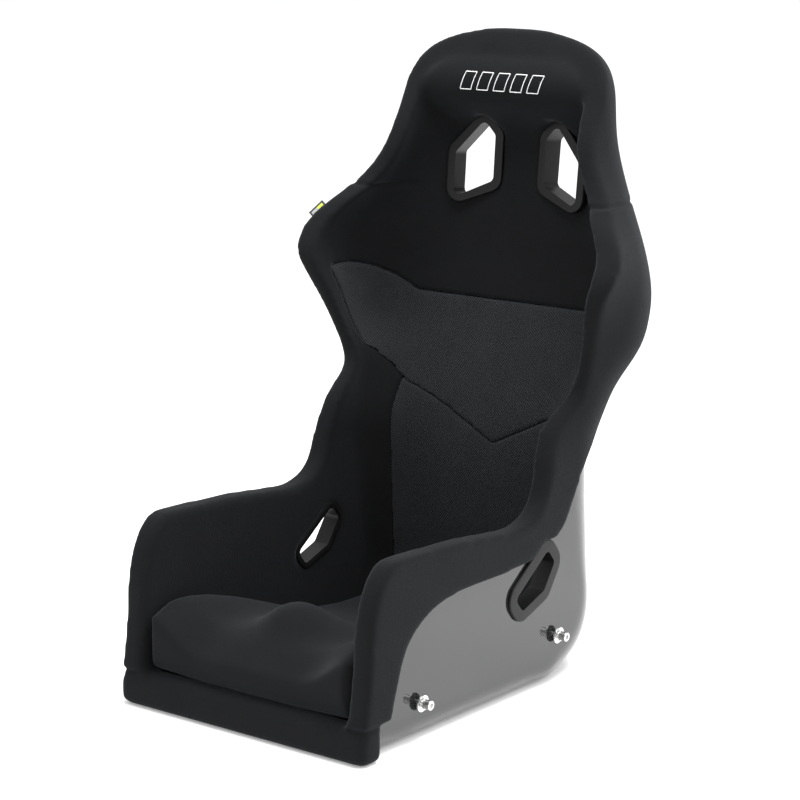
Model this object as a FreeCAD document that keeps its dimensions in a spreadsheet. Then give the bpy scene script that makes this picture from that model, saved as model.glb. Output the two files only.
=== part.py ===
import FreeCAD, Part
import Sketcher
import math
import os

Vector = FreeCAD.Vector

# Fixed-back racing seat. Millimetres, +Z up, the seat faces -Y, +X is the occupant's left.
# The origin lies on the flat underside of the moulded base, on the seat's middle plane.
#
# Everything moulded or padded follows one mould surface, the outside of the glass-fibre shell.
# Its sections are U shapes: upright across the base, level up the back, and fanned about one
# pivot line in the corner between them. A "plug" is the solid inside the mould surface, shrunk
# by an offset, so that the shell, the pads and the rim rolls are each one plug cut from another.

doc = FreeCAD.newDocument("racing_seat")
sheet = doc.addObject("Spreadsheet::Sheet", "sizes")

SIZES = [
    # The shell's base
    ("shell_wall", 4.0, "thickness of the moulded shell"),
    ("floor_cut", 0.6, "how far the moulded floor dips below its flat underside"),
    ("base_half_width", 200.0, "middle plane to the outside of the base's side wall"),
    ("base_corner", 36.0, "corner between floor and side wall"),
    ("front_reach", 331.0, "origin to the padded front edge"),
    ("front_rise", 15.0, "lift of the floor at the front edge"),
    ("front_curl", 130.0, "length over which the floor lifts"),
    ("rear_corner_radius", 100.0, "floor to back"),
    ("hip_back", 255.0, "origin to the outside of the back at the hips"),
    ("hip_corner", 110.0, "corner between side wall and back at the hips"),
    # The back, as heights stacked one on the other
    ("hip_height", 300.0, "floor to the top of the straight lower back"),
    ("waist_rise", 105.0, "hips to waist"),
    ("wing_rise", 60.0, "waist to the lower half of the shoulder wings"),
    ("shoulder_rise", 70.0, "lower wings to the shoulders"),
    ("wing_top_rise", 65.0, "shoulders to the upper half of the wings"),
    ("neck_rise", 102.0, "upper wings to neck"),
    ("head_rise", 53.0, "neck to the start of the head's arch"),
    ("arch_rise", 127.0, "start of the arch to the top of the shell"),
    ("waist_back", 276.0, "origin to the outside of the back at the waist"),
    ("wing_back", 288.0, "the same at the lower wings"),
    ("shoulder_back", 300.0, "the same at the shoulders"),
    ("wing_top_back", 309.0, "the same at the upper wings"),
    ("neck_back", 320.0, "the same at the neck"),
    ("head_back", 322.0, "the same at the head"),
    ("waist_half_width", 233.0, "outside half width at the back of the waist"),
    ("waist_rim_half_width", 197.0, "the same at the front rim of the waist"),
    ("wing_half_width", 268.0, "outside half width at the back of the lower wings"),
    ("wing_rim_half_width", 222.0, "the same at the front rim of the lower wings"),
    ("shoulder_half_width", 264.0, "outside half width at the back of the shoulders"),
    ("shoulder_rim_half_width", 252.0, "the same at the front rim of the shoulders"),
    ("wing_top_half_width", 230.0, "outside half width at the back of the upper wings"),
    ("wing_top_rim_half_width", 257.0, "the same at the front rim of the upper wings"),
    ("neck_half_width", 186.0, "outside half width at the back of the neck"),
    ("neck_rim_half_width", 181.0, "the same at the front rim of the neck"),
    ("head_half_width", 176.0, "outside half width at the back of the head"),
    ("head_rim_half_width", 155.0, "the same at the front rim of the head"),
    ("shoulder_corner", 108.0, "corner between back and wing at the shoulders"),
    ("head_corner", 84.0, "corner between back and side at the neck and head"),
    ("arch_squareness", 3.3, "exponent of the arch over the head"),
    ("crown_radius_back", 52.0, "roll-over of the back into the crown, front to back"),
    ("crown_radius_up", 55.0, "roll-over of the back into the crown, upwards"),
    # The padded rim, seen from the side
    ("armrest_height", 253.0, "floor to the padded top of the side wall"),
    ("front_lean", 22.0, "how far the side wall's front edge leans back over its height"),
    ("front_top_radius", 46.0, "rounding of the side wall's front top corner"),
    ("elbow_reach", 30.0, "origin to where the armrest turns up into the back"),
    ("hip_rim", 76.0, "origin to the padded rim just under the hip height"),
    ("waist_rim", 148.0, "origin to the padded rim at the waist"),
    ("shoulder_rim", 114.0, "the same at the shoulder wings"),
    ("neck_rim", 203.0, "the same at the neck"),
    ("head_rim", 218.0, "the same at the head"),
    ("crown_rim", 283.0, "the same at the very top"),
    # Padding
    ("glue_gap", 0.5, "gap between the shell and what is bonded to it"),
    ("lining_thickness", 17.5, "foam and cover on the inside of the shell"),
    ("roll_outside", 11.0, "thickness of the rim roll outside the shell"),
    ("roll_inside", 22.0, "depth of the rim roll's inner face inside the mould surface"),
    ("roll_over_edge", 12.0, "thickness of the rim roll over the shell's edge"),
    ("roll_band_inside", 34.0, "width of the rim roll on the inside of the shell"),
    ("roll_band_outside", 58.0, "width of the rim roll on the outside of the base"),
    ("seam_gap", 0.4, "gap between neighbouring covers"),
    ("bond_gap", 0.3, "gap between a bonded plate or strip and its seat"),
    ("lip_height", 47.0, "height of the padded front lip"),
    ("lip_depth", 42.0, "front to back depth of the padded front lip"),
    ("panel_seam_height", 497.0, "floor to the level seam under the head pad"),
    ("panel_seam_half_width", 166.0, "half width of the level part of that seam"),
    ("chevron_tip_height", 292.0, "floor to the tip of the chevron seam"),
    ("chevron_arm_rise", 76.0, "tip to the outer ends of the chevron"),
    ("lumbar_half_width", 157.0, "half width of the mesh panel below the chevron"),
    ("headrest_front", 243.0, "origin to the front of the headrest"),
    ("headrest_foot", 34.0, "neck height up to the foot of the headrest"),
    ("headrest_middle", 103.0, "neck height up to the fullest part of the headrest"),
    ("headrest_top", 148.0, "neck height up to where the headrest meets the crown"),
    ("head_roll_foot", 42.0, "neck height down to the seam between head roll and side rolls"),
    # Seat cushion
    ("cushion_half_width", 175.5, "middle plane to the cushion's side"),
    ("cushion_front", 314.0, "origin to the cushion's front face"),
    ("cushion_lift", 7.6, "underside of the shell to the cushion's underside"),
    ("cushion_lobe_height", 147.0, "top of the side lobes at the front"),
    ("cushion_channel_height", 112.0, "top of the thigh channels at the front"),
    ("cushion_pommel_height", 150.0, "top of the raised middle"),
    ("cushion_rear_height", 58.0, "top of the cushion where it meets the back"),
    ("cushion_clearance", 1.2, "gap between the cushion and the pads around it"),
    # Harness slots
    ("slot_side", 66.0, "upright sides of a shoulder slot"),
    ("slot_width", 64.0, "width of a shoulder slot"),
    ("slot_drop", 28.0, "how much lower the outer side of a shoulder slot sits"),
    ("slot_peak", 21.0, "peak of a shoulder slot above its inner side"),
    ("slot_peak_in", 19.0, "inner side of a shoulder slot to its peak"),
    ("slot_pitch", 152.0, "middle to middle of the two shoulder slots"),
    ("slot_under_neck", 15.0, "neck height down to the middle of the shoulder slots"),
    ("slot_yaw", 8.0, "turn of each shoulder slot towards the middle, in degrees"),
    ("slot_corner", 9.0, "rounding of a shoulder slot's corners"),
    ("bezel_face", 13.0, "width of a shoulder bezel's face around its slot"),
    ("bezel_proud", 4.0, "thickness of a bezel's face"),
    ("bezel_bed", 8.0, "depth of a shoulder bezel's face bedded into the pad"),
    ("ring_face", 9.0, "width of the ring behind a shoulder slot"),
    ("ring_thickness", 3.0, "ring behind a shoulder slot, and ring inside a lap slot"),
    ("bezel_wall", 2.5, "wall of a bezel's sleeve"),
    ("lap_slot_length", 93.0, "long way across a lap slot"),
    ("lap_slot_end", 26.0, "width of a lap slot at its ends"),
    ("lap_slot_skew", 3.5, "half the step between a lap slot's two ends"),
    ("lap_slot_bulge", 15.0, "how far a lap slot bulges below its ends"),
    ("lap_slot_reach", 55.0, "origin to the middle of the lap slot"),
    ("lap_slot_height", 161.0, "floor to the middle of the lap slot"),
    ("lap_slot_tilt", 40.0, "lean of the lap slot's long axis above level, in degrees"),
    ("lap_slot_corner", 8.0, "rounding of a lap slot's corners"),
    ("lap_bezel_face", 17.0, "width of the outer lap bezel's face around its slot"),
    ("lap_ring_face", 8.0, "width of the inner lap ring's face around its slot"),
    # Side mounts
    ("bolt_spacing", 313.4, "front to rear mount bolt"),
    ("bolt_tilt", 3.0, "rise of the line of bolts towards the back, in degrees"),
    ("bolt_height", 62.2, "floor to the middle of the bolt pair"),
    ("bolt_middle", -45.5, "origin to the middle of the bolt pair, along Y"),
    ("bolt_radius", 4.0, "M8 shank"),
    ("bolt_exposed", 13.0, "length of shank left showing outside the shell"),
    ("bolt_engaged", 14.0, "length of shank inside the shell's outside face"),
    ("bolt_head_radius", 6.5, "M8 cap head"),
    ("bolt_head_height", 8.0, "M8 cap head"),
    ("hex_key", 6.0, "across the flats of the socket"),
    ("hex_depth", 3.8, "depth of the socket"),
    ("washer_radius", 11.5, "wide flat washer"),
    ("washer_thickness", 1.8, "wide flat washer"),
    ("washer_clearance", 0.3, "washer bore over the shank"),
    ("washer_lean", 7.0, "how far a loose flat washer hangs out of square, in degrees"),
    ("washer_from_shell", 5.8, "shell to the loose flat washer"),
    ("spring_washer_radius", 7.2, "M8 spring washer"),
    ("spring_washer_thickness", 2.0, "M8 spring washer"),
    ("thread_fit", 0.03, "nut bore over the shank"),
    ("shank_hole_gap", 0.4, "clearance of the shank in the shell and the plate"),
    ("plate_thickness", 3.0, "steel mount plate inside the side wall"),
    ("plate_width", 30.0, "height of the mount plate"),
    ("plate_overhang", 18.0, "mount plate beyond each bolt"),
    ("nut_flats", 13.0, "across the flats of the captive nut"),
    ("nut_thickness", 6.5, "captive nut"),
    # Fixings of the cushion, and trim
    ("strip_thickness", 1.6, "hook or loop strip"),
    ("strip_width", 50.0, "hook or loop strip"),
    ("strip_length", 300.0, "hook or loop strip"),
    ("strip_pitch", 220.0, "middle to middle of the two strips"),
    ("tag_width", 27.0, "woven side tag, along the seam"),
    ("tag_length", 10.0, "woven side tag, out from the seam"),
    ("tag_thickness", 1.4, "woven side tag"),
    ("tag_stand_off", 6.5, "from the shell's rim line plus the roll to the middle of the side tag"),
]

for row, (alias, value, meaning) in enumerate(SIZES, 1):
    sheet.set("A%d" % row, meaning)
    sheet.set("B%d" % row, str(value))
    sheet.setAlias("B%d" % row, alias)
doc.recompute()


def cell(alias):
    """A size from the sheet."""
    return float(sheet.get(alias))


# ---------------------------------------------------------------------------------------------
# The mould surface
# ---------------------------------------------------------------------------------------------

FLOOR = -cell("floor_cut")
HIP = cell("hip_height")
WAIST = HIP + cell("waist_rise")
WING = WAIST + cell("wing_rise")
SHOULDER = WING + cell("shoulder_rise")
WING_TOP = SHOULDER + cell("wing_top_rise")
NECK = WING_TOP + cell("neck_rise")
HEAD = NECK + cell("head_rise")
TOP = HEAD + cell("arch_rise")
CROWN_START = TOP - cell("crown_radius_up")
FAN_HEIGHT = HIP + 30.0
FAN_REACH = -40.0
FRONT_END = -cell("front_reach") - 20.0
WALL_SHARE = 0.86  # how far the walls run from the mould's floor towards the fan's pivot


def smooth(table, at):
    """Cubic curve through rows of (position, value, value...), as a list of values."""
    rows = sorted(table)
    at = min(max(at, rows[0][0]), rows[-1][0])
    i = max(k for k in range(len(rows) - 1) if rows[k][0] <= at)
    low, high = rows[i], rows[i + 1]
    span = high[0] - low[0]
    t = (at - low[0]) / span

    def slope(k, column):
        before, after = rows[max(k - 1, 0)], rows[min(k + 1, len(rows) - 1)]
        return (after[column] - before[column]) / (after[0] - before[0])

    out = []
    for column in range(1, len(low)):
        m0, m1 = slope(i, column) * span, slope(i + 1, column) * span
        a, b = low[column], high[column]
        out.append(
            (2 * t**3 - 3 * t**2 + 1) * a
            + (t**3 - 2 * t**2 + t) * m0
            + (3 * t**2 - 2 * t**3) * b
            + (t**3 - t**2) * m1
        )
    return out


# Height up the back: outside of the back, half width at the back, half width at the rim, corner.
BACK = [
    (0.0, cell("hip_back"), cell("base_half_width"), cell("base_half_width"), cell("hip_corner")),
    (HIP * 0.6, cell("hip_back"), cell("base_half_width"), cell("base_half_width"), cell("hip_corner")),
    (HIP, cell("hip_back") + 2, cell("base_half_width"), cell("base_half_width"), cell("hip_corner")),
    (FAN_HEIGHT, cell("hip_back") + 6, cell("base_half_width") - 1, cell("base_half_width") - 3,
     cell("hip_corner")),
]
for zone, height, corner in (
    ("waist", WAIST, "hip_corner"),
    ("wing", WING, "shoulder_corner"),
    ("shoulder", SHOULDER, "shoulder_corner"),
    ("wing_top", WING_TOP, "shoulder_corner"),
    ("neck", NECK, "head_corner"),
    ("head", HEAD, "head_corner"),
):
    sizes = [cell(zone + name) for name in ("_back", "_half_width", "_rim_half_width")]
    BACK.append((height, *sizes, cell(corner)))

# Height up the back: the padded rim seen from the side.
RIM = [
    (HIP - 15, cell("hip_rim") - 5),
    (HIP + 70, cell("waist_rim") - 40),
    (WAIST, cell("waist_rim")),
    (WING - 10, cell("waist_rim") - 4),
    (SHOULDER - 30, cell("shoulder_rim") + 14),
    (SHOULDER + 23, cell("shoulder_rim")),
    (WING_TOP, cell("shoulder_rim") + 19),
    (NECK - 60, cell("neck_rim") - 40),
    (NECK - 35, cell("neck_rim") - 15),
    (NECK, cell("neck_rim")),
    (HEAD, cell("head_rim")),
    (HEAD + 36, cell("head_rim") + 17),
    (TOP - 42, cell("crown_rim") - 26),
    (TOP + 11, cell("crown_rim")),
]


def arch(height, offset):
    """How much of its width the head keeps at a height above the start of its arch."""
    share = max(0.0, (height - HEAD) / (cell("arch_rise") - offset))
    return max(0.0, 1 - share ** cell("arch_squareness")) ** (1 / cell("arch_squareness"))


def stations(offset):
    """The plug's sections: spine point, direction into the seat, half widths, corner, wall height."""
    pivot = (FAN_REACH, FAN_HEIGHT)
    width = cell("base_half_width")
    corner = cell("base_corner")
    wall = (FAN_HEIGHT - FLOOR) * WALL_SHARE
    rows = []
    for share in (0.0, 0.25, 0.5, 0.75, 1.0):
        y = FRONT_END + share * cell("front_curl")
        z = FLOOR + cell("front_rise") * (1 - share) ** 2
        rows.append((y, z + offset, 0, 1, width, width, corner, wall))
    for y in (-130.0, FAN_REACH):
        rows.append((y, FLOOR + offset, 0, 1, width, width, corner, wall))

    radius = cell("rear_corner_radius")
    bend = (cell("hip_back") - radius, FLOOR + radius)
    fan = [(20.0, FLOOR + offset), (75.0, FLOOR + offset), (bend[0] - 40, FLOOR + offset)]
    for degrees in (0, 30, 60, 90):
        angle = math.radians(degrees)
        reach = radius - offset
        fan.append((bend[0] + reach * math.sin(angle), bend[1] - reach * math.cos(angle)))
    fan += [(cell("hip_back") - offset, z) for z in (HIP * 0.5, HIP * 0.7, HIP * 0.88)]
    for place, (y, z) in enumerate(fan):
        dy, dz = pivot[0] - y, pivot[1] - z
        length = math.hypot(dy, dz)
        blend = min(1.0, max(0.0, (place - 2) / 4))
        mixed = corner + (cell("hip_corner") - corner) * blend
        rows.append((y, z, dy / length, dz / length, width, width, mixed, length * WALL_SHARE))

    up = [FAN_HEIGHT]
    up += [WAIST - cell("waist_rise") * 0.4, WAIST, (WAIST + WING) / 2, WING, (WING + SHOULDER) / 2]
    up += [SHOULDER, (SHOULDER + WING_TOP) / 2, WING_TOP]
    up += [WING_TOP + cell("neck_rise") * share for share in (0.35, 0.7, 1.0)]
    up += [HEAD - 15, HEAD + 20]
    crown_up = cell("crown_radius_up") - offset
    crown_back = cell("crown_radius_back") - offset
    crown_middle = cell("head_back") - cell("crown_radius_back")
    up += [CROWN_START + crown_up * share for share in (0.0, 0.35, 0.62, 0.8, 0.92, 0.985)]
    reach = FAN_REACH + (cell("hip_back") - FAN_REACH) * (1 - WALL_SHARE)
    for z in up:
        back, at_back, at_rim, turn = smooth(BACK, z)
        back -= offset
        if z > CROWN_START:
            share = (z - CROWN_START) / crown_up
            back = crown_middle + crown_back * math.sqrt(max(0.0, 1 - share**2))
        narrow = arch(z, offset)
        at_back = offset + (at_back - offset) * narrow
        at_rim = offset + (at_rim - offset) * narrow
        rows.append((back, z, -1, 0, at_back, at_rim, min(turn, at_back * 0.8), back - reach))
    return rows


def u_wire(row, offset, soft):
    """One section of a plug: floor, two rounded corners, two walls, and a line across the top."""
    y, z, dy, dz, at_back, at_rim, corner, wall = row
    depth = 150.0  # where the half width at the rim is measured
    flare = (at_rim - at_back) / depth
    foot = at_back - offset
    turn = min(max(corner - offset + soft, 10.0), foot - 4.0)

    def place(x, height):
        return Vector(x, y + height * dy, z + height * dz)

    def side(height):
        return foot + flare * height

    floor = [place(-(foot - turn), 0), place(foot - turn, 0)]
    edges = [Part.makeLine(*floor)]
    for sign in (1, -1):
        start = place(sign * (foot - turn), 0)
        end = place(sign * side(turn), turn)
        knee = place(sign * foot, 0)
        bend = Part.BezierCurve()
        near, far = start + (knee - start) * 0.56, end + (knee - end) * 0.56
        bend.setPoles([start, near, far, end] if sign > 0 else [end, far, near, start])
        top = place(sign * side(wall), wall)
        edges.append(bend.toShape())
        edges.append(Part.makeLine(end, top) if sign > 0 else Part.makeLine(top, end))
    edges.append(Part.makeLine(place(side(wall), wall), place(-side(wall), wall)))
    floor_edge, bend_right, wall_right, bend_left, wall_left, across = edges
    return Part.Wire([floor_edge, bend_right, wall_right, across, wall_left, bend_left])


def plug(offset, soft=0.0):
    """The solid inside the mould surface, shrunk by an offset, with corners softened by padding."""
    return Part.makeLoft([u_wire(row, offset, soft) for row in stations(offset)], True, False)


# ---------------------------------------------------------------------------------------------
# Outlines that cut the plugs
# ---------------------------------------------------------------------------------------------

FAR = 600.0  # beyond the seat on every side
UP = TOP + 120.0


def side_prism(points):
    """Everything behind and below a curve drawn in side view, as (y, z) points from the front up."""
    curve = Part.BSplineCurve()
    curve.interpolate([Vector(-FAR, y, z) for y, z in points])
    first, last = points[0], points[-1]
    around = [(last[0], last[1]), (last[0], UP), (FAR, UP), (FAR, first[1]), (first[0], first[1])]
    lines = [Part.makeLine(Vector(-FAR, *a), Vector(-FAR, *b)) for a, b in zip(around, around[1:])]
    return Part.Face(Part.Wire([curve.toShape()] + lines)).extrude(Vector(2 * FAR, 0, 0))


def front_prism(points, low=-FAR, high=FAR):
    """A closed outline drawn in front view, as (x, z) points, run from front to back."""
    corners = [Vector(x, low, z) for x, z in points]
    return Part.Face(Part.makePolygon(corners + corners[:1])).extrude(Vector(0, high - low, 0))


def rim_curve(inward):
    """The rim seen from the side, moved towards the shell by a distance."""
    front = -cell("front_reach")
    lean, rest, elbow = cell("front_lean"), cell("armrest_height"), cell("elbow_reach")
    round_off = cell("front_top_radius")
    face = front + lean
    line = [
        (front, -10.0),
        (front + lean * 0.1, rest * 0.16),
        (front + lean * 0.55, rest * 0.42),
        (face - round_off * 0.05, rest - round_off * 1.45),
        (face + round_off * 0.28, rest - round_off * 0.55),
        (face + round_off * 0.85, rest + 1),
        (face + round_off * 1.6, rest + 4),
        (face * 0.35, rest - 1),
        (elbow - 50, rest - 9),
        (elbow, rest - 6),
        (elbow + 33, rest + 16),
    ]
    line += [(y, z) for z, y in RIM]
    moved = []
    for i, (y, z) in enumerate(line):
        (y0, z0), (y1, z1) = line[max(i - 1, 0)], line[min(i + 1, len(line) - 1)]
        length = math.hypot(y1 - y0, z1 - z0)
        moved.append((y + inward * (z1 - z0) / length, z - inward * (y1 - y0) / length))
    return moved


def band_curve():
    """The rim roll's outer edge: narrow along the base, then round onto the back."""
    front = -cell("front_reach")
    band, rest = cell("roll_band_outside"), cell("armrest_height")
    face = front + cell("front_lean")
    line = [
        (front + band - 6, -10.0),
        (front + band + 3, 44.0),
        (face + band - 2, rest * 0.4),
        (face + band + 12, rest - band * 2.05),
        (face + band + 34, rest - band * 1.66),
        (face + band + 66, rest - band * 1.36),
        (face + band + 112, rest - band * 1.18),
        (-78.0, rest - band * 1.12),
        (cell("elbow_reach") - 28, rest - band * 1.1),
        (cell("elbow_reach") + 38, rest - band * 0.93),
        (cell("elbow_reach") + 92, rest - band * 0.36),
        (cell("hip_rim") + band + 16, HIP - 22),
        (cell("hip_rim") + band + 54, HIP + 14),
        (cell("waist_rim") + band + 50, WAIST - 30),
    ]
    edge = cell("glue_gap") + 26.0
    for z in (WAIST + 30, WING, SHOULDER, WING_TOP, NECK - 45, NECK, HEAD, HEAD + 60):
        line.append((smooth(BACK, z)[0] - edge, z))
    line.append((cell("head_back") - 8, TOP + 30))
    return line


# ---------------------------------------------------------------------------------------------
# Nodes
# ---------------------------------------------------------------------------------------------

parts = []


def moulded(label, shape):
    """A freeform sub-part, as one document object."""
    feature = doc.addObject("Part::Feature", label)
    feature.Label = label
    feature.Shape = shape
    feature.Placement = FreeCAD.Placement()
    parts.append(feature)
    return feature


def largest(shape):
    """The biggest solid of a cut, without slivers."""
    return max(shape.Solids, key=lambda solid: solid.Volume)


SIDE = cell("base_half_width")
GAP = cell("glue_gap")
WALL = cell("shell_wall")
LINING_OUT = WALL + GAP
LINING_IN = LINING_OUT + cell("lining_thickness")
ROLL_IN = cell("roll_inside")
SOFT = 16.0  # how much rounder the padding's corners are than the shell's

outside = plug(0)
inside = plug(WALL)
lining_outside = plug(LINING_OUT)
lining_inside = plug(LINING_IN, SOFT)
roll_outside = plug(-cell("roll_outside"))
roll_inside = plug(ROLL_IN, SOFT)

rim_outer = side_prism(rim_curve(0))
rim_shell = side_prism(rim_curve(cell("roll_over_edge")))
rim_lining = side_prism(rim_curve(cell("roll_band_inside")))
band_outer = side_prism(band_curve())
above_floor = Part.makeBox(2 * FAR, 2 * FAR, 2 * FAR, Vector(-FAR, -FAR, 0))

shell_shape = largest(outside.cut(inside).common(rim_shell).common(above_floor))
lining = lining_outside.cut(lining_inside).common(rim_lining)


# The shell's surroundings: a skin a little thicker than the shell, which the rolls stay out of.
over_edge = cell("roll_over_edge")
shell_skin = plug(-GAP).cut(plug(WALL + GAP)).common(side_prism(rim_curve(over_edge - GAP)))
seam = cell("seam_gap")
lining_room = plug(WALL / 2).common(side_prism(rim_curve(cell("roll_band_inside") - seam)))
rim_roll = roll_outside.cut(roll_inside).common(rim_outer)
rim_roll = rim_roll.cut(lining_room).cut(band_outer).cut(shell_skin)


def slab(low, high):
    """The space between two heights."""
    return Part.makeBox(2 * FAR, 2 * FAR, high - low, Vector(-FAR, -FAR, low))


def on_side(shape, sign):
    """The biggest solid on one side of the middle plane."""
    own = [solid for solid in shape.Solids if solid.CenterOfMass.x * sign > 0]
    return max(own, key=lambda solid: solid.Volume)


def lip():
    """The padded front edge: a D-shaped roll across the seat, rounded into the side rolls."""
    front, depth, height = -cell("front_reach"), cell("lip_depth"), cell("lip_height")
    nose, back_round = height * 0.34, depth * 0.2
    points = [
        (front + nose * 0.55, 0),
        (front, nose * 0.8),
        (front, height - nose),
        (front + nose, height),
        (front + depth - back_round, height),
        (front + depth, height - back_round),
        (front + depth, 0),
    ]
    half_length = cell("base_half_width") + cell("roll_outside")
    corners = [Vector(-half_length, y, z) for y, z in points]
    edges = []
    for i, here in enumerate(corners):
        there = corners[(i + 1) % len(corners)]
        along = there - here
        if i in (0, 2, 4):
            crown = Vector(0, -along.z, along.y).normalize() * along.Length * 0.2
            edges.append(Part.Arc(here, (here + there) * 0.5 + crown, there).toShape())
        else:
            edges.append(Part.makeLine(here, there))
    bar = Part.Face(Part.Wire(edges)).extrude(Vector(2 * half_length, 0, 0))
    ends = [edge for edge in bar.Edges if edge.BoundBox.XLength < 0.01]
    return largest(bar.makeFillet(8, ends).cut(shell_skin))


TIP = cell("chevron_tip_height")
ARM = cell("lumbar_half_width")
LEVEL = cell("panel_seam_height")
LEVEL_HALF = cell("panel_seam_half_width")


def upper_seam(lift):
    """Seam between head pad and shoulder mesh, left to right in front view."""
    right = [(LEVEL_HALF, LEVEL), (LEVEL_HALF + 96, LEVEL + 59), (FAR, LEVEL + 90)]
    return [(x, z + lift) for x, z in [(-x, z) for x, z in reversed(right)] + right]


def lower_seam(lift):
    """The chevron seam below the shoulder mesh, left to right in front view."""
    arm = TIP + cell("chevron_arm_rise")
    right = [(ARM - 5, arm), (ARM + 50, arm + 62), (FAR, arm + 80)]
    left = [(-x, z) for x, z in reversed(right)]
    return [(x, z + lift) for x, z in left + [(0, TIP)] + right]


def panel_between(low_seam, high_seam):
    return lining.common(front_prism(low_seam + list(reversed(high_seam))))


cushion_gap = cell("cushion_clearance")
seat_half = cell("cushion_half_width") + cushion_gap
SEAT_REAR = cell("hip_back") - cell("rear_corner_radius") + 14
SEAT_FLOOR = 60.0
cushion_zone = Part.makeBox(
    2 * seat_half, FAR + SEAT_REAR + cushion_gap, SEAT_FLOOR + 200, Vector(-seat_half, -FAR, -200)
)
PANEL_FOOT = LINING_IN + 3.0


def slot_corners(grow=0.0):
    """A shoulder slot in front view, about its own middle, +x away from the seat's middle."""
    half_width, side = cell("slot_width") / 2, cell("slot_side") / 2
    drop, peak = cell("slot_drop") / 2, cell("slot_peak")
    return [
        (-half_width - grow, drop - side - grow * 0.8),
        (half_width + grow, -drop - side - grow * 1.2),
        (half_width + grow, -drop + side + grow * 0.5),
        (-half_width + cell("slot_peak_in") + grow * 0.15, drop + side + peak + grow * 1.2),
        (-half_width - grow, drop + side + grow * 0.5),
    ]


def lap_corners(grow=0.0):
    """A lap slot in side view, about its own middle, long axis along the first coordinate."""
    length, end = cell("lap_slot_length") / 2, cell("lap_slot_end") / 2
    skew, bulge = cell("lap_slot_skew"), cell("lap_slot_bulge")
    return [
        (-length - grow, skew - end - grow * 0.6),
        (length * 0.1, -end - bulge - grow),
        (length + grow, -skew - end - grow * 0.7),
        (length + grow, -skew + end + grow),
        (-length - grow, skew + end + grow),
    ]


def rounded(corners, radius):
    """A flat face with rounded corners, in the XY plane."""
    edges = []
    count = len(corners)
    points = [Vector(x, y, 0) for x, y in corners]
    ends = []
    for i in range(count):
        before, here, after = points[i - 1], points[i], points[(i + 1) % count]
        into, out = (here - before).normalize(), (after - here).normalize()
        turn = into.getAngle(out)
        trim = radius * math.tan(turn / 2)
        start, stop = here - into * trim, here + out * trim
        inward = (out - into).normalize()
        middle = here + inward * (radius / math.cos(turn / 2) - radius)
        ends.append((start, Part.Arc(start, middle, stop).toShape(), stop))
    for i in range(count):
        edges.append(ends[i][1])
        edges.append(Part.makeLine(ends[i][2], ends[(i + 1) % count][0]))
    return Part.Face(Part.Wire(edges))


def shoulder_frame(sign):
    """Place of a shoulder slot: local +z out of the seat's face, local +y up."""
    height = NECK - cell("slot_under_neck")
    back = smooth(BACK, height)[0]
    lean = math.atan2(smooth(BACK, height + 30)[0] - smooth(BACK, height - 30)[0], 60.0)
    upright = FreeCAD.Rotation(Vector(1, 0, 0), 90 - math.degrees(lean))
    yaw = FreeCAD.Rotation(Vector(0, 0, 1), -sign * cell("slot_yaw"))
    middle = Vector(sign * cell("slot_pitch") / 2, back - LINING_IN - cell("bezel_bed"), height)
    return FreeCAD.Placement(middle, yaw * upright)


def lap_frame(sign):
    """Place of a lap slot on a side wall: local +z outwards, local +x up the slot's long axis."""
    tilt = FreeCAD.Rotation(Vector(1, 0, 0), cell("lap_slot_tilt"))
    turn = FreeCAD.Rotation(Vector(0, 1, 0), Vector(0, 0, sign), Vector(sign, 0, 0), "XYZ")
    middle = Vector(sign * SIDE, cell("lap_slot_reach"), cell("lap_slot_height"))
    return FreeCAD.Placement(middle, tilt * turn)


def shoulder_outline(sign, grow=0.0):
    """The shoulder slot on one side, its outer side lower than its inner one."""
    corners = slot_corners(grow)
    return corners if sign > 0 else [(-x, y) for x, y in reversed(corners)]


def lap_outline(sign, grow=0.0):
    """The lap slot on one side, bulging downwards."""
    corners = lap_corners(grow)
    return corners if sign > 0 else [(x, -y) for x, y in reversed(corners)]


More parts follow.
